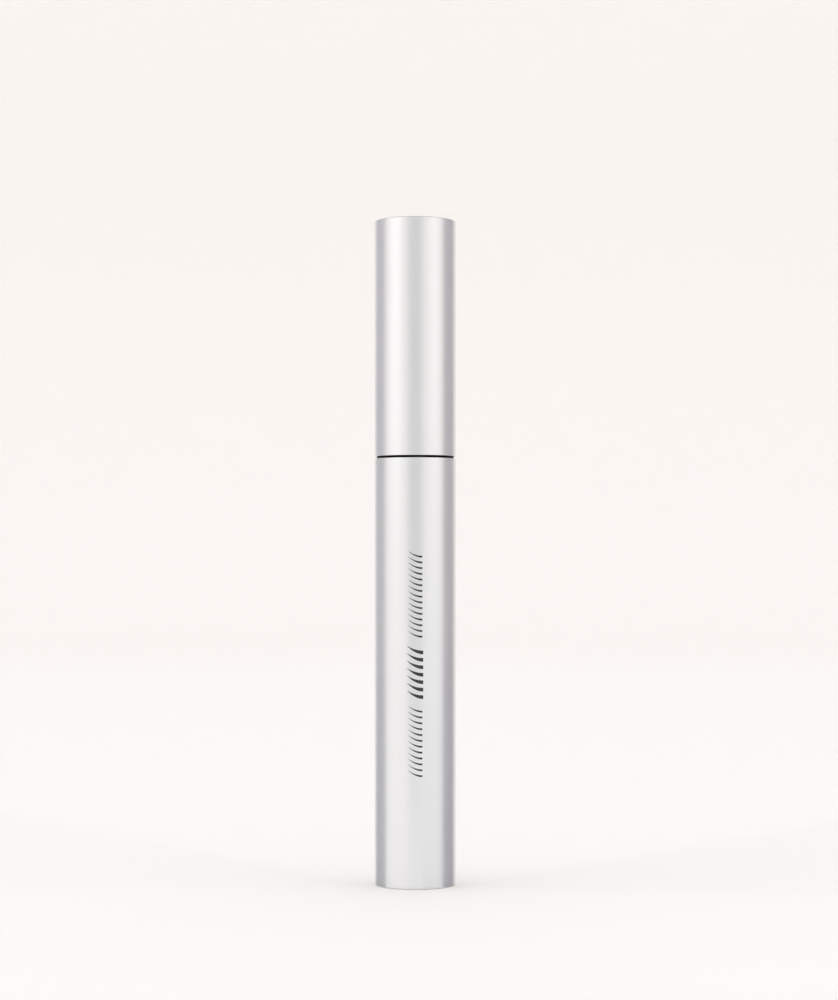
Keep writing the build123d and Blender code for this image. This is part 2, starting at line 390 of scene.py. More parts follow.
def slab(corners):
    """Closed bars of four sides. corners is an array of bars, of steps along a bar, of the four
    corners of its section there, of x, y and z. The first and last sections are its ends."""
    bars, steps = corners.shape[:2]
    block = grid_faces(steps, 4, False)
    ends = np.array([[3, 2, 1, 0], [steps * 4 - 4, steps * 4 - 3, steps * 4 - 2, steps * 4 - 1]])
    bar = np.concatenate([block, ends])
    quads = (np.arange(bars)[:, None, None] * steps * 4 + bar).reshape(-1, 4)
    return corners.reshape(-1, 3), quads, np.zeros((0, 3), int)


def joined(*shapes):
    """Several closed shapes as one: their points end to end, and their faces numbered to match."""
    first = np.cumsum([0] + [len(shape[0]) for shape in shapes[:-1]])
    points = np.concatenate([shape[0] for shape in shapes])
    quads = np.concatenate([shape[1] + start for shape, start in zip(shapes, first)])
    tris = np.concatenate([shape[2] + start for shape, start in zip(shapes, first)])
    return points, quads, tris


def make_piece(name, shape, material, body=None, node=None):
    """Makes the object of one shape. With a body it is a piece of the tube, else a part of the stage."""
    points, quads, tris = shape
    mesh = bpy.data.meshes.new(name)
    mesh.from_pydata((points * MM).tolist(), [], quads.tolist() + tris.tolist())
    if mesh.validate():
        raise ValueError(f"{name} has faces that can't be drawn")
    mesh.shade_smooth()
    mesh.set_sharp_from_angle(angle=math.radians(40))
    mesh.materials.append(material)
    piece = bpy.data.objects.new(name, mesh)
    bpy.context.scene.collection.objects.link(piece)
    if body is None:
        return piece
    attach(piece, body)
    if node:
        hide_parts(node)
    return piece


# ---- materials ----
def add(tree, kind, sockets=None, **settings):
    """Adds one shader node. sockets gives each input a value, or the output that feeds it."""
    node = tree.nodes.new("ShaderNode" + kind)
    for name, value in settings.items():
        setattr(node, name, value)
    for socket, value in (sockets or {}).items():
        if isinstance(value, bpy.types.NodeSocket):
            tree.links.new(value, node.inputs[socket])
        else:
            node.inputs[socket].default_value = value
    return node


def base(name, tint, **values):
    """A material with one shader, and object coordinates in metres. Returns it, its tree, its shader
    and the coordinates."""
    material = bpy.data.materials.new(name)
    material.use_nodes = True
    tree = material.node_tree
    shader = tree.nodes["Principled BSDF"]
    shader.inputs["Base Color"].default_value = (*tint, 1)
    for socket, value in values.items():
        shader.inputs[socket.replace("_", " ").title().replace("Ior", "IOR")].default_value = value
    return material, tree, shader, add(tree, "TexCoord").outputs["Object"]


def per_metre(size):
    """The texture scale whose features are this many millimetres apart."""
    return 1 / (size * MM)


def grain(tree, shader, coordinates, size, depth, **noise):
    """Bumps this many millimetres apart and deep, from noise."""
    bumps = add(tree, "TexNoise", {"Vector": coordinates, "Scale": per_metre(size), **noise})
    lift = add(tree, "Bump", {"Distance": depth * MM, "Height": bumps.outputs["Fac"]})
    tree.links.new(lift.outputs["Normal"], shader.inputs["Normal"])


def bumpy(name, tint, size, depth, detail=2.0, **values):
    """A material of one colour with fine bumps, this many millimetres apart and deep."""
    material, tree, shader, place = base(name, tint, **values)
    grain(tree, shader, place, size, depth, Detail=detail)
    return material


def uneven(tree, socket, coordinates, size, low, high):
    """Lets a number wander between two values over patches this many millimetres across."""
    patches = add(tree, "TexNoise", {"Vector": coordinates, "Scale": per_metre(size), "Detail": 3.0})
    ends = {"From Min": 0.3, "From Max": 0.7, "To Min": low, "To Max": high}
    reach = add(tree, "MapRange", {"Value": patches.outputs["Fac"], **ends})
    tree.links.new(reach.outputs["Result"], socket)


def anodised_aluminium(colours):
    """Deep-drawn aluminium, bead blasted and clear anodised: a soft, frosted metal reflection."""
    material, tree, shader, place = base("anodised aluminium", colours.aluminium, metallic=1.0)
    uneven(tree, shader.inputs["Roughness"], place, 9.0, 0.29, 0.32)
    # The blast leaves pits of about 0.03 mm, drawn at 0.16 mm so that they show.
    grain(tree, shader, place, 0.16, 0.0012, Detail=1.0)
    return material


def screen_ink(colours):
    """Two-part screen ink, cured on the metal: flat dark film with a faint mottle."""
    return bumpy("screen printed ink", colours.ink, 0.12, 0.002, roughness=0.5)


def abs_plastic(colours):
    """Injection-moulded black ABS from a spark-eroded tool: matt, so that the slot stays dark."""
    finish = {"roughness": 0.62, "ior": 1.54, "specular_ior_level": 0.12}
    return bumpy("moulded black ABS", colours.collar, 0.15, 0.004, **finish)


def bottle_plastic(colours):
    """Injection-blown black polypropylene: slightly waxy, with faint flow waves."""
    finish = {"roughness": 0.34, "ior": 1.49}
    return bumpy("blown black polypropylene", colours.bottle, 0.9, 0.01, detail=3.0, **finish)


def wiper_plastic(colours):
    """Natural low-density polyethylene: soft and milky, with thin edges that let light in. Paste
    clings to the lip, and thins out upwards in streaks."""
    stain_full, stain_end = 0.4, 2.2
    material, tree, shader, place = base(
        "natural polyethylene", colours.wiper, roughness=0.42, ior=1.51,
        subsurface_weight=0.35, subsurface_radius=(1.0, 0.9, 0.75), subsurface_scale=0.0012,
    )
    grain(tree, shader, place, 0.5, 0.003)
    height = add(tree, "SeparateXYZ", {"Vector": place}).outputs["Z"]
    streaks = add(tree, "TexNoise", {"Vector": place, "Scale": per_metre(0.9), "Detail": 3.0})
    climb = {0: streaks.outputs["Fac"], 1: 3.0 * MM, 2: height}
    wander = add(tree, "Math", climb, operation="MULTIPLY_ADD").outputs["Value"]
    ends = {"From Min": (BARREL_LOW + stain_full) * MM, "From Max": (BARREL_LOW + stain_end) * MM}
    clean = add(tree, "MapRange", {"Value": wander, **ends}).outputs["Result"]
    tints = {"A": (*colours.paste, 1), "B": (*colours.wiper, 1)}
    mix = add(tree, "Mix", {"Factor": clean, **tints}, data_type="RGBA")
    tree.links.new(mix.outputs["Result"], shader.inputs["Base Color"])
    return material


def liner_plastic(colours):
    """Natural polypropylene, injection moulded: cloudy white with a satin skin."""
    return bumpy(
        "natural polypropylene", colours.liner, 0.7, 0.003, roughness=0.36, ior=1.49,
        subsurface_weight=0.25, subsurface_radius=(1.0, 0.95, 0.9), subsurface_scale=0.001,
    )


def foam(colours):
    """Expanded polyethylene: closed cells of about 0.2 mm, matt."""
    material, tree, shader, place = base("expanded polyethylene", colours.foam, roughness=0.8, ior=1.5)
    cells = add(tree, "TexVoronoi", {"Vector": place, "Scale": per_metre(0.22)})
    lift = add(tree, "Bump", {"Distance": 0.03 * MM, "Height": cells.outputs["Distance"]})
    tree.links.new(lift.outputs["Normal"], shader.inputs["Normal"])
    return material


def stem_plastic(colours):
    """Black acetal, injection moulded in a polished tool: hard and glossy."""
    return bumpy("moulded black acetal", colours.stem, 1.2, 0.004, roughness=0.22, ior=1.48)


def wire_steel(colours):
    """Bright-drawn stainless wire: metal with fine die lines along the strand."""
    material, tree, shader, place = base("drawn stainless steel", colours.wire, metallic=1.0)
    uneven(tree, shader.inputs["Roughness"], place, 0.4, 0.18, 0.34)
    grain(tree, shader, place, 0.08, 0.001)
    return material


def nylon(colours):
    """Extruded nylon filament, dyed black: smooth with a low shine."""
    material, tree, shader, place = base("black nylon filament", colours.nylon, roughness=0.36, ior=1.53)
    uneven(tree, shader.inputs["Roughness"], place, 0.5, 0.3, 0.45)
    return material


def zinc_plate(colours):
    """Turned steel, bright zinc plated: metal with rings left by the tool."""
    material, tree, shader, place = base("zinc plated steel", colours.zinc, metallic=1.0, roughness=0.3)
    rings = add(
        tree, "TexWave", {"Vector": place, "Scale": per_metre(0.25) / TURN, "Distortion": 0.3},
        wave_type="RINGS", rings_direction="Z",
    )
    lift = add(tree, "Bump", {"Distance": 0.004 * MM, "Height": rings.outputs["Fac"]})
    tree.links.new(lift.outputs["Normal"], shader.inputs["Normal"])
    return material


def paste_mix(colours):
    """Wax and carbon black in water: a thick, wet, very dark paste."""
    return bumpy("mascara paste", colours.paste, 1.6, 0.06, detail=3.0, roughness=0.16, ior=1.42)


def label_film(colours):
    """Matt white film with a printed ring, and a row of bars for the maker's batch."""
    ring_radius, ring_half, bar_gap, bar_wide = 5.1, 0.12, 0.5, 0.22
    row_half, row_middle, row_tall = 2.4, -1.6, 0.7
    material, tree, shader, place = base("printed label film", colours.label, roughness=0.5)
    parts = add(tree, "SeparateXYZ", {"Vector": place}).outputs
    flat = add(tree, "CombineXYZ", {"X": parts["X"], "Y": parts["Y"]})
    out = add(tree, "VectorMath", {0: flat.outputs["Vector"]}, operation="LENGTH").outputs["Value"]
    near = {0: out, 1: ring_radius * MM, 2: ring_half * MM}
    ring = add(tree, "Math", near, operation="COMPARE").outputs["Value"]
    bar = add(tree, "Math", {0: parts["X"], 1: bar_gap * MM}, operation="PINGPONG").outputs["Value"]
    bar = add(tree, "Math", {0: bar, 1: bar_wide * MM}, operation="LESS_THAN").outputs["Value"]
    near = {0: parts["X"], 1: 0.0, 2: row_half * MM}
    wide = add(tree, "Math", near, operation="COMPARE").outputs["Value"]
    near = {0: parts["Y"], 1: row_middle * MM, 2: row_tall * MM}
    tall = add(tree, "Math", near, operation="COMPARE").outputs["Value"]
    bars = add(tree, "Math", {0: wide, 1: tall}, operation="MULTIPLY").outputs["Value"]
    bars = add(tree, "Math", {0: bars, 1: bar}, operation="MULTIPLY").outputs["Value"]
    marks = add(tree, "Math", {0: ring, 1: bars}, operation="MAXIMUM").outputs["Value"]
    ink = (*colours.ink, 1)
    mix = add(tree, "Mix", {"Factor": marks, "A": (*colours.label, 1), "B": ink}, data_type="RGBA")
    tree.links.new(mix.outputs["Result"], shader.inputs["Base Color"])
    grain(tree, shader, place, 0.25, 0.002)
    return material


# ---- operators ----
class PieceOperator:
    """What the operators share: they can be undone, and they read the scene's settings."""

    bl_options = {"REGISTER", "UNDO"}

    def settings(self, context):
        """The sizes and the colours."""
        return context.scene.mascara_sizes, context.scene.mascara_colours


class MASCARA_OT_shells(PieceOperator, Operator):
    """Makes the two drawn aluminium shells"""

    bl_idname = "mascara.shells"
    bl_label = "Aluminium Shells"

    def execute(self, context):
        sizes, colours = self.settings(context)
        metal = anodised_aluminium(colours)
        end = sizes.end_round / MM
        rim = sizes.rim_round / MM
        foot = DISH_RADIUS + DISH_SLOPE
        floor = DISH_HEIGHT + SHELL_WALL
        body = outline(
            [
                (0, DISH_HEIGHT), (DISH_RADIUS, DISH_HEIGHT, 0.15),
                (foot, BODY_LOW, 0.15), (TUBE_RADIUS, BODY_LOW, end),
                (TUBE_RADIUS, BODY_HIGH, rim), (SHELL_BORE, BODY_HIGH, rim),
                (SHELL_BORE, SHELL_WALL, 0.3), (foot, SHELL_WALL, 0.1),
                (DISH_RADIUS, floor, 0.1), (0, floor),
            ]
        )
        cap = outline(
            [
                (0, CAP_HIGH - SHELL_WALL), (SHELL_BORE, CAP_HIGH - SHELL_WALL, 0.2),
                (SHELL_BORE, CAP_LOW, rim), (TUBE_RADIUS, CAP_LOW, rim),
                (TUBE_RADIUS, CAP_HIGH, end), (0, CAP_HIGH),
            ]
        )
        can = lathe(body, sizes.facets)
        lid = lathe(cap, sizes.facets)
        make_piece("body_can", can, metal, "bottle", "body_shell")
        make_piece("cap_can", lid, metal, "applicator", "cap_shell")
        return {"FINISHED"}


def lashes(low, high, pitch, thick, reach):
    """One row of printed strokes, as the corners of bars laid on the tube.

    A stroke starts thick on the right and runs to a fine tip on the left, and rises as the square of
    the way it has gone, as an eyelash does. Its width falls from full at the root to a tenth at the
    tip, along a quarter of a cosine. A way s round the tube is the angle s / radius."""
    rise = STROKE_RISE * reach
    count = round((high - low - rise) / pitch) + 1
    start = np.linspace(low, high - rise, count)[:, None]
    share = np.linspace(0, 1, STROKE_STEPS)[None, :]
    around = reach * (0.5 - share) + 0 * start
    middle = start + rise * share**2
    half = thick / 2 * (STROKE_TIP + (1 - STROKE_TIP) * np.cos(share * math.pi / 2))
    angle = around / TUBE_RADIUS
    bars = [
        [(TUBE_RADIUS + lift) * np.sin(angle), -(TUBE_RADIUS + lift) * np.cos(angle), middle + side * half]
        for side, lift in ((-1, -INK_FILM), (-1, INK_FILM), (1, INK_FILM), (1, -INK_FILM))
    ]
    return np.moveaxis(np.array(bars), (0, 1), (2, 3))


class MASCARA_OT_front_print(PieceOperator, Operator):
    """Prints three rows of lash strokes up the front of the body, the middle row bold"""

    bl_idname = "mascara.front_print"
    bl_label = "Front Print"

    def execute(self, context):
        sizes, colours = self.settings(context)
        fine = (sizes.fine_pitch / MM, sizes.print_fine / MM, FINE_REACH)
        bold = (sizes.bold_pitch / MM, sizes.print_bold / MM, BOLD_REACH)
        rows = [lashes(*ends, *style) for ends, style in zip(PRINT_ROWS, (fine, bold, fine))]
        strokes = slab(np.concatenate(rows))
        make_piece("print_strokes", strokes, screen_ink(colours), "bottle")
        return {"FINISHED"}


class MASCARA_OT_shoulder_collar(PieceOperator, Operator):
    """Makes the black collar that shows as the line between the shells"""

    bl_idname = "mascara.shoulder_collar"
    bl_label = "Shoulder Collar"

    def execute(self, context):
        sizes, colours = self.settings(context)
        ring = outline(
            [
                (COLLAR_INSIDE, COLLAR_UNDER, 0.05), (SKIRT_INSIDE, COLLAR_UNDER, 0.05),
                (SKIRT_INSIDE, COLLAR_LOW, 0.1), (SKIRT_OUTSIDE, COLLAR_LOW, 0.15),
                (SKIRT_OUTSIDE, BODY_HIGH, 0.03), (COLLAR_RADIUS, BODY_HIGH, 0.03),
                (COLLAR_RADIUS, COLLAR_HIGH, 0.12), (COLLAR_INSIDE, COLLAR_HIGH, 0.08),
            ],
            closed=True,
        )
        shape = lathe(ring, sizes.facets)
        make_piece("collar_ring", shape, abs_plastic(colours), "bottle", "shoulder_collar")
        return {"FINISHED"}


class MASCARA_OT_inner_bottle(PieceOperator, Operator):
    """Makes the inner bottle with its ribs and its threaded neck"""

    bl_idname = "mascara.inner_bottle"
    bl_label = "Inner Bottle"

    def execute(self, context):
        """Two parting lines, left where the mould's halves met, run up the neck."""
        sizes, colours = self.settings(context)
        floor = BOTTLE_LOW + BOTTLE_FLOOR
        wall = BOTTLE_RADIUS - BOTTLE_BORE
        section = outline(
            [
                (0, BOTTLE_LOW), (BOTTLE_RADIUS, BOTTLE_LOW, 0.8),
                (BOTTLE_RADIUS, SHOULDER_LOW, 0.6), (NECK_RADIUS, SHOULDER_HIGH, 0.3),
                (NECK_RADIUS, LIP, 0.15), (NECK_BORE, LIP, 0.08),
                (NECK_BORE, SHOULDER_HIGH - wall, 0.3), (BOTTLE_BORE, SHOULDER_LOW - wall, 0.6),
                (BOTTLE_BORE, floor, 0.8), (0, floor),
            ]
        )
        sunk = THREAD_SINK
        parting = (NECK_RADIUS - sunk, NECK_RADIUS + PARTING_HEIGHT, SHOULDER_HIGH + sunk, LIP - sunk)
        shape = joined(
            lathe(section, sizes.facets),
            thread(NECK_THREAD, NECK_RADIUS, 1, sizes.thread_fade),
            fins(RIB_COUNT, BOTTLE_RADIUS - sunk, RIB_RADIUS, *RIB_ENDS, RIB_WIDTH),
            fins(2, *parting, PARTING_WIDTH),
        )
        plastic = bottle_plastic(colours)
        make_piece("bottle_moulding", shape, plastic, "bottle", "inner_bottle")
        return {"FINISHED"}


class MASCARA_OT_wiper(PieceOperator, Operator):
    """Makes the soft wiper in the neck"""

    bl_idname = "mascara.wiper"
    bl_label = "Wiper"

    def execute(self, context):
        sizes, colours = self.settings(context)
        lip_wall = 0.45
        bead = 0.8
        mouth = 0.35
        funnel = outline(
            [
                (THROAT_RADIUS + mouth, WIPER_HIGH, 0.1), (THROAT_RADIUS, WIPER_HIGH - mouth, 0.2),
                (THROAT_RADIUS, BARREL_LOW, 0.6), (ORIFICE_RADIUS, WIPER_LOW + bead, 0.3),
                (ORIFICE_RADIUS, WIPER_LOW, 0.06), (ORIFICE_RADIUS + lip_wall, WIPER_LOW, 0.12),
                (ORIFICE_RADIUS + lip_wall, WIPER_LOW + bead, 0.3), (WIPER_BARREL, BARREL_LOW, 0.4),
                (WIPER_BARREL, LIP, 0.05), (WIPER_FLANGE, LIP, 0.1),
                (WIPER_FLANGE, WIPER_HIGH, 0.18),
            ],
            closed=True,
        )
        shape = lathe(funnel, sizes.facets)
        make_piece("wiper_funnel", shape, wiper_plastic(colours), "bottle", "wiper")
        return {"FINISHED"}


class MASCARA_OT_paste(PieceOperator, Operator):
    """Makes the paste in the bottle, with the channel that the brush leaves"""

    bl_idname = "mascara.paste"
    bl_label = "Mascara Paste"

    def execute(self, context):
        """The channel's wall is pushed back by ridges that climb as a screw, as the brush's twist leaves
        them, and its top is lowered by three slow waves round the tube."""
        sizes, colours = self.settings(context)
        rim, crest, slump = PASTE_HIGH - 1.2, PASTE_HIGH - 0.6, 0.25
        channel = CHANNEL_RADIUS + 0.05
        ridge, ridge_gap, unevenness = 0.18, 3.8, 0.3
        section = np.concatenate(
            [
                outline(
                    [
                        (0, PASTE_LOW), (PASTE_RADIUS, PASTE_LOW, 0.8),
                        (PASTE_RADIUS, rim, 0.5), (CHANNEL_RADIUS + 0.5, crest),
                    ]
                ),
                column(channel, PASTE_HIGH - 1.0, CHANNEL_LOW + 0.6, 0.35),
                outline([(CHANNEL_RADIUS - 0.4, CHANNEL_LOW + 0.1), (0, CHANNEL_LOW)]),
            ]
        )

        def relief(angle, height, radius):
            """Ridges on the channel's wall only."""
            wall = np.abs(radius - channel) < TINY
            screw = 1 + np.sin(2 * angle - TURN * height / ridge_gap)
            return wall * ridge * screw * (1 + unevenness * np.sin(5 * angle))

        points, quads, tris = lathe(section, PASTE_FACETS, relief)
        swirl = np.arctan2(points[:, 1], points[:, 0])
        top = points[:, 2] > rim - 0.1
        points[:, 2] -= top * slump * (1 + np.sin(3 * swirl + 0.6))
        fill = (points, quads, tris)
        make_piece("paste_fill", fill, paste_mix(colours), "bottle", "mascara_paste")
        return {"FINISHED"}


class MASCARA_OT_inner_cap(PieceOperator, Operator):
    """Makes the moulded liner of the cap, with its thread, deck, webs and socket"""

    bl_idname = "mascara.inner_cap"
    bl_label = "Inner Cap"

    def execute(self, context):
        """The webs run from the socket's wall to the liner's, and the weight rests on them."""
        sizes, colours = self.settings(context)
        deck_top = DECK + DECK_THICKNESS
        socket = SOCKET_RADIUS + SOCKET_WALL
        snap_low = SLUG_HIGH + 0.1
        section = outline(
            [
                (0, SOCKET_HIGH), (SOCKET_RADIUS, SOCKET_HIGH, 0.1),
                (SOCKET_RADIUS, DECK, 0.15), (CAP_BORE, DECK, 0.3),
                (CAP_BORE, LINER_LOW, 0.15), (LINER_RADIUS, LINER_LOW, 0.2),
                (LINER_RADIUS, LINER_HIGH, 0.3), (LINER_BORE, LINER_HIGH, 0.2),
                (LINER_BORE, snap_low + SNAP_HEIGHT, 0.2),
                (LINER_BORE - SNAP_DEPTH, snap_low + SNAP_HEIGHT / 2, 0.15),
                (LINER_BORE, snap_low, 0.2), (LINER_BORE, deck_top, 0.3),
                (socket, deck_top, 0.3), (socket, SLUG_LOW, 0.2),
                (0, SLUG_LOW),
            ]
        )
        sunk = THREAD_SINK
        shape = joined(
            lathe(section, sizes.facets),
            thread(CAP_THREAD, CAP_BORE, -1, sizes.thread_fade),
            fins(WEB_COUNT, socket - sunk, LINER_BORE + sunk, deck_top - sunk, SLUG_LOW, WEB_WIDTH),
        )
        plastic = liner_plastic(colours)
        make_piece("liner_moulding", shape, plastic, "applicator", "inner_cap")
        return {"FINISHED"}


class MASCARA_OT_wand_stem(PieceOperator, Operator):
    """Makes the stem with its crimped tip, its plug, its flange and its barbs"""

    bl_idname = "mascara.wand_stem"
    bl_label = "Wand Stem"

    def execute(self, context):
        """The crimp is four hollows round the tip, each one a bell curve across and along."""
        sizes, colours = self.settings(context)
        taper_top = STEM_LOW + STEM_TAPER
        crimp, crimp_half = taper_top + 1.6, 1.1
        hollow_depth, hollow_across, hollow_along = 0.16, 0.42, 0.5
        barb = ((SPIGOT_RADIUS, 0.5), (SOCKET_RADIUS, 0.5), (SPIGOT_RADIUS, 1))
        barbs = [(radius, DECK + BARB_PITCH * (i + way), 0.03) for i in range(3) for radius, way in barb]
        section = np.concatenate(
            [
                outline(
                    [
                        (0, STEM_LOW + WIRE_GRIP), (STEM_BORE, STEM_LOW + WIRE_GRIP, 0.05),
                        (STEM_BORE, STEM_LOW, 0.1), (STEM_TIP_RADIUS, STEM_LOW, 0.35),
                        (STEM_RADIUS, taper_top, 0.8), (STEM_RADIUS, crimp - crimp_half - 0.1),
                    ]
                ),
                column(STEM_RADIUS, crimp - crimp_half, crimp + crimp_half, 0.12),
                outline(
                    [
                        (STEM_RADIUS, crimp + crimp_half + 0.1), (STEM_RADIUS, PLUG_LOW, 0.3),
                        (PLUG_RADIUS, PLUG_LOW + PLUG_RADIUS - STEM_RADIUS, 0.3),
                        (PLUG_RADIUS, WASHER_HIGH, 0.1), (STEM_FLANGE, WASHER_HIGH, 0.15),
                        (STEM_FLANGE, DECK, 0.15), (SPIGOT_RADIUS, DECK, 0.05),
                        *barbs,
                        (SPIGOT_RADIUS, STEM_HIGH, 0.3), (0, STEM_HIGH),
                    ]
                ),
            ]
        )

        def relief(angle, height, radius):
            """Four hollows, a quarter turn apart."""
            quarter = TURN / 4
            away = ((angle + quarter / 2) % quarter - quarter / 2) * STEM_RADIUS / hollow_across
            hollow = hollow_depth * np.exp(-(away**2) - ((height - crimp) / hollow_along) ** 2)
            return (np.abs(radius - STEM_RADIUS) < TINY) * -hollow

        shape = lathe(section, HIDDEN_FACETS, relief)
        make_piece("stem_rod", shape, stem_plastic(colours), "applicator", "wand_stem")
        return {"FINISHED"}


class MASCARA_OT_brush_wire(PieceOperator, Operator):
    """Twists the two strands of the brush's wire"""

    bl_idname = "mascara.brush_wire"
    bl_label = "Twisted Wire"

    def execute(self, context):
        """Each strand is half the wire thick and follows a screw line at half its radius. The other strand
        is half a turn round. A strand's lower end is rounded as a ball is."""
        sizes, colours = self.settings(context)
        strand = WIRE_RADIUS / 2 - STRAND_GAP
        pitch = sizes.wire_pitch / MM
        turns = (WIRE_HIGH - WIRE_LOW) / pitch
        points_per_turn, sides, blunt = 24, 12, 0.02
        height = np.linspace(WIRE_LOW + 0.01, WIRE_HIGH, round(turns * points_per_turn))
        nose = np.array([0.0, 0.04, 0.12, 0.22]) * strand * 2
        height = np.concatenate([WIRE_LOW + nose, height[height > WIRE_LOW + nose[-1] + 0.05]])
        depth = np.clip((height - WIRE_LOW) / strand, 0, 1)
        radius = strand * np.sqrt(np.maximum(1 - (1 - depth) ** 2, blunt))
        strands = []
        for start in (0, math.pi):
            angle = TURN * height / pitch + start
            out = np.stack([np.cos(angle), np.sin(angle), 0 * angle], axis=1)
            path = out * WIRE_RADIUS / 2 + np.array([0, 0, 1]) * height[:, None]
            strands.append(sleeve(path, radius, out, sides))
        shape = joined(*strands)
        make_piece("twisted_wire", shape, wire_steel(colours), "applicator", "brush_wire")
        return {"FINISHED"}


class MASCARA_OT_brush_bristles(PieceOperator, Operator):
    """Sets the filaments in the twisted wire and trims them to the brush's outline"""

    bl_idname = "mascara.brush_bristles"
    bl_label = "Bristles"

    def execute(self, context):
        """A filament leaves the wire on both sides, at the angle that the twist has at its height. Its
        reach is the parabola through the tip's, the belly's and the root's radius of the brush. It is a
        bar of three sides with a ring at its root, two thirds out and at its end, and it leans a little."""
        sizes, colours = self.settings(context)
        dice = np.random.default_rng(7)
        count = sizes.bristle_rows
        margin, trim, fan, tilt, drift, shortest = 0.1, 0.06, 0.16, 0.05, 0.06, 0.955
        share = (np.arange(count) + dice.uniform(0.1, 0.9, count)) / count
        height = BRUSH_LOW + margin + (BRUSH_HIGH - BRUSH_LOW - 2 * margin) * share
        angle = TURN * height / (sizes.wire_pitch / MM) + dice.normal(0, fan, count)
        height = np.tile(height, 2)
        angle = np.concatenate([angle, angle + math.pi])
        share = np.tile(share, 2)
        tip, belly, root, high = 2.1, BRUSH_RADIUS, 2.8, 0.55
        bend = ((root - tip) - (belly - tip) / high) / (1 - high)
        reach = tip + share * (belly - tip) / high + bend * share * (share - high)
        reach = np.minimum(reach, belly) * dice.uniform(shortest, 1.0, len(share))
        lean = dice.normal(0, tilt, len(share))
        sway = dice.normal(0, drift, len(share))
        out = np.stack([np.cos(angle), np.sin(angle), 0 * angle], axis=-1)
        side = np.stack([-np.sin(angle), np.cos(angle), 0 * angle], axis=-1)
        up = np.array([0.0, 0.0, 1.0])
        stations = np.array([0.06, 0.66, 1.0])
        way = reach[:, None] * stations[None, :]
        centre = (
            out[:, None] * way[..., None]
            + side[:, None] * (sway[:, None] * way * stations)[..., None]
            + up * (height[:, None] + lean[:, None] * way)[..., None]
        )
        centre[..., 2] = np.clip(centre[..., 2], BRUSH_LOW + trim, BRUSH_HIGH - trim)
        half = sizes.bristle_width / MM / 2 * np.array([1.0, 0.85, 0.5])
        turn = np.arange(3) * TURN / 3
        ring = (
            np.cos(turn)[None, None, :, None] * side[:, None, None]
            + np.sin(turn)[None, None, :, None] * up
        )
        points = centre[:, :, None] + half[None, :, None, None] * ring
        block = grid_faces(3, 3, False)
        first = np.arange(len(share))[:, None, None] * 9
        quads = (first + block).reshape(-1, 4)
        tris = (first + np.array([[2, 1, 0], [6, 7, 8]])).reshape(-1, 3)
        shape = (points.reshape(-1, 3), quads, tris)
        make_piece("nylon_bristles", shape, nylon(colours), "applicator", "brush_bristles")
        return {"FINISHED"}


class MASCARA_OT_seal_washer(PieceOperator, Operator):
    """Makes the foam washer under the stem's flange"""

    bl_idname = "mascara.seal_washer"
    bl_label = "Seal Washer"

    def execute(self, context):
        sizes, colours = self.settings(context)
        hole = PLUG_RADIUS + 0.05
        ring = outline(
            [
                (hole, WASHER_LOW, 0.06), (WASHER_RADIUS, WASHER_LOW, 0.12),
                (WASHER_RADIUS, WASHER_HIGH, 0.12), (hole, WASHER_HIGH, 0.06),
            ],
            closed=True,
        )
        shape = lathe(ring, HIDDEN_FACETS)
        make_piece("foam_washer", shape, foam(colours), "washer", "seal_washer")
        return {"FINISHED"}


class MASCARA_OT_cap_weight(PieceOperator, Operator):
    """Makes the steel slug in the top of the cap"""

    bl_idname = "mascara.cap_weight"
    bl_label = "Cap Weight"

    def execute(self, context):
        sizes, colours = self.settings(context)
        chamfer = 0.4
        slug = outline(
            [
                (0, SLUG_LOW), (SLUG_RADIUS - chamfer, SLUG_LOW, 0.08),
                (SLUG_RADIUS, SLUG_LOW + chamfer, 0.08), (SLUG_RADIUS, SLUG_HIGH - chamfer, 0.08),
                (SLUG_RADIUS - chamfer, SLUG_HIGH, 0.08), (0, SLUG_HIGH),
            ]
        )
        metal = zinc_plate(colours)
        shape = lathe(slug, HIDDEN_FACETS)
        make_piece("steel_slug", shape, metal, "cap_carriage", "cap_weight")
        return {"FINISHED"}


class MASCARA_OT_base_label(PieceOperator, Operator):
    """Makes the round sticker in the dished base"""

    bl_idname = "mascara.base_label"
    bl_label = "Base Label"

    def execute(self, context):
        sizes, colours = self.settings(context)
        disc = outline(
            [
                (0, LABEL_LOW), (LABEL_RADIUS, LABEL_LOW, 0.04),
                (LABEL_RADIUS, LABEL_HIGH, 0.02), (0, LABEL_HIGH),
            ]
        )
        shape = lathe(disc, HIDDEN_FACETS)
        make_piece("base_sticker", shape, label_film(colours), "bottle", "base_label")
        return {"FINISHED"}


# ---- the studio ----
def matt(name, tint):
    """A plain matt material of the stage."""
    return base(name, tint, roughness=0.9)[0]


def hide_from_view(sheet):
    """Leaves a card only in reflections."""
    sheet.visible_camera = False
    sheet.visible_diffuse = False
    sheet.visible_shadow = False


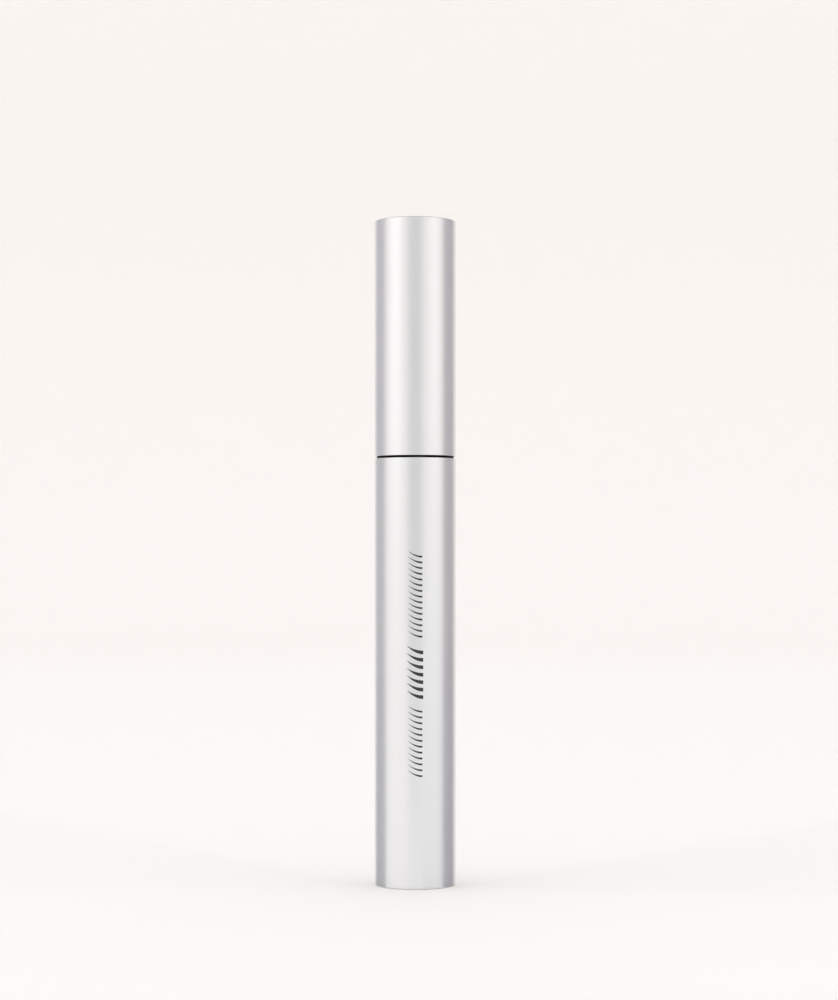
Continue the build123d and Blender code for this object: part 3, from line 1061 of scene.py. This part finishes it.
def card(name, centre, width, near, far, high, tint):
    """A card that lies on the floor and, if high isn't 0, bends up at its far end. It is seen only in
    the tube's reflections.

    The point at the angle a and the distance d stands at R (sin a/2, -cos a/2) + d (sin a, -cos a),
    where R is the tube's radius and 0 degrees is the camera's side. So the card's edges run the way
    that a mirror's rays do, and it shows on the tube as a straight band."""
    angle = np.radians(np.linspace(centre - width / 2, centre + width / 2, CARD_COLUMNS))[None, :]
    distance = np.geomspace(near, far, CARD_ROWS)[:, None]
    height = np.full((CARD_ROWS, 1), CARD_LIFT)
    if high:
        distance = np.concatenate([distance, np.full((UPRIGHT_ROWS - 1, 1), far)])
        height = np.concatenate([height, np.linspace(CARD_LIFT, high, UPRIGHT_ROWS)[1:, None]])
    points = np.stack(
        [
            TUBE_RADIUS * np.sin(angle / 2) + distance * np.sin(angle),
            -TUBE_RADIUS * np.cos(angle / 2) - distance * np.cos(angle),
            height + 0 * angle,
        ],
        axis=-1,
    )
    rows, columns = points.shape[:2]
    start = (np.arange(rows - 1)[:, None] * columns + np.arange(columns - 1)).reshape(-1, 1)
    quads = start + np.array([0, 1, columns + 1, columns])
    shape = (points.reshape(-1, 3), quads, np.zeros((0, 3), int))
    hide_from_view(make_piece(name, shape, matt(name, linear(tint))))


def softbox(name, centre, distance, height, wide, tall, power):
    """A rectangular area light that faces the tube, at an angle round it from the camera's side."""
    light = bpy.data.lights.new(name, "AREA")
    light.shape = "RECTANGLE"
    light.size = wide * MM
    light.size_y = tall * MM
    light.energy = power
    lamp = bpy.data.objects.new(name, light)
    angle = math.radians(centre)
    lamp.location = (distance * MM * math.sin(angle), -distance * MM * math.cos(angle), height * MM)
    lamp.rotation_euler = (math.pi / 2, 0, angle)
    lamp.visible_camera = False
    bpy.context.scene.collection.objects.link(lamp)


class MASCARA_OT_studio(PieceOperator, Operator):
    """Makes the pale sweep, the light tent, the softboxes, the cards and the camera"""

    bl_idname = "mascara.studio"
    bl_label = "Studio"

    def execute(self, context):
        """The sweep is a floor that curves up into a wall all round: its section is a flat run, a
        quarter of a circle and an upright run."""
        studio = context.scene.mascara_studio
        colours = context.scene.mascara_colours
        cove = [(900, 0), (SWEEP_RADIUS, 0, SWEEP_COVE), (SWEEP_RADIUS, SWEEP_HIGH)]
        section = np.concatenate(
            [
                [[0.0, 0.0], [40.0, 0.0], [200.0, 0.0], [600.0, 0.0]],
                outline(cove, steps=24),
                [[0.0, SWEEP_HIGH]],
            ]
        )
        points, quads, tris = lathe(section, SWEEP_FACETS)
        # The lathe's roof, its last ring of three-sided faces, is left off.
        open_top = (points[:-1], quads[:, ::-1], tris[:SWEEP_FACETS, ::-1])
        make_piece("studio_sweep", open_top, matt("painted sweep", colours.floor))

        world = bpy.data.worlds.new("light tent")
        world.use_nodes = True
        context.scene.world = world
        sky = world.node_tree.nodes["Background"]
        sky.inputs["Color"].default_value = (1, 1, 1, 1)
        sky.inputs["Strength"].default_value = studio.sky

        softbox("left_softbox", centre=-58, distance=900, height=560, wide=600, tall=900, power=0.46)
        softbox("right_softbox", centre=56, distance=900, height=560, wide=500, tall=900, power=0.26)
        upright = {"near": FLAG_BEND, "far": FLAG_FAR, "high": FLAG_HIGH}
        flat = {"near": TUBE_SIDE, "far": FLAG_BEND, "high": 0}
        card("left_flag", centre=-120, width=50, tint="#c5c4c7", **upright)
        card("left_floor_flag", centre=-118.25, width=53.5, tint="#b4b3b5", **flat)
        card("right_flag", centre=113, width=54, tint="#bbb8bd", **upright)
        card("right_floor_flag", centre=111.7, width=56.6, tint="#aba8ac", **flat)
        card("camera_card", centre=0, width=40, near=300, far=FLAG_FAR, high=FLAG_HIGH, tint="#dadadb")
        card("right_bounce", centre=52, width=60, near=TUBE_SIDE, far=600, high=0, tint="#ebebeb")
        corners = np.array([[-1, -1], [-1, 1], [1, 1], [1, -1]]) * OVERHEAD_HALF
        overhead = np.column_stack([corners, np.full(4, OVERHEAD_HIGH)])
        sheet = (overhead, np.array([[0, 1, 2, 3]]), np.zeros((0, 3), int))
        hide_from_view(make_piece("overhead_flag", sheet, matt("overhead_flag", linear("#b7b6b5"))))

        camera = bpy.data.cameras.new("camera")
        camera.lens = studio.lens
        camera.sensor_width = 36
        camera.shift_y = studio.camera_rise
        camera.clip_start = 0.01
        camera.clip_end = 50
        holder = bpy.data.objects.new("camera", camera)
        holder.location = (studio.camera_aside, -studio.camera_away, studio.camera_high)
        holder.rotation_euler = (math.pi / 2, 0, 0)
        context.scene.collection.objects.link(holder)
        bpy.context.scene.camera = holder
        context.scene.view_settings.view_transform = "Standard"
        return {"FINISHED"}


PIECES = PieceOperator.__subclasses__()  # in the order in which they are written above


class MASCARA_PT_panel(Panel):
    """Lists the tube's pieces, its sizes and its colours"""

    bl_idname = "MASCARA_PT_panel"
    bl_label = "Mascara Tube"
    bl_space_type = "VIEW_3D"
    bl_region_type = "UI"
    bl_category = "Mascara"

    def draw(self, context):
        for operator in PIECES:
            self.layout.operator(operator.bl_idname)
        for place in GROUPS:
            group = getattr(context.scene, place)
            box = self.layout.box()
            for name in group.__annotations__:
                box.prop(group, name)


GROUPS = {"mascara_sizes": MascaraSizes, "mascara_colours": MascaraColours, "mascara_studio": MascaraStudio}


def register():
    """Registers the property groups, the operators and the panel."""
    for name, group in GROUPS.items():
        bpy.utils.register_class(group)
        setattr(bpy.types.Scene, name, PointerProperty(type=group))
    for operator in PIECES:
        bpy.utils.register_class(operator)
    bpy.utils.register_class(MASCARA_PT_panel)


def unregister():
    """Takes them all away again, last first."""
    bpy.utils.unregister_class(MASCARA_PT_panel)
    for operator in reversed(PIECES):
        bpy.utils.unregister_class(operator)
    for name, group in reversed(GROUPS.items()):
        delattr(bpy.types.Scene, name)
        bpy.utils.unregister_class(group)


def main():
    """Makes every piece and the studio."""
    register()
    for operator in PIECES:
        getattr(bpy.ops.mascara, operator.bl_idname.split(".")[1])()


if __name__ == "__main__":
    main()
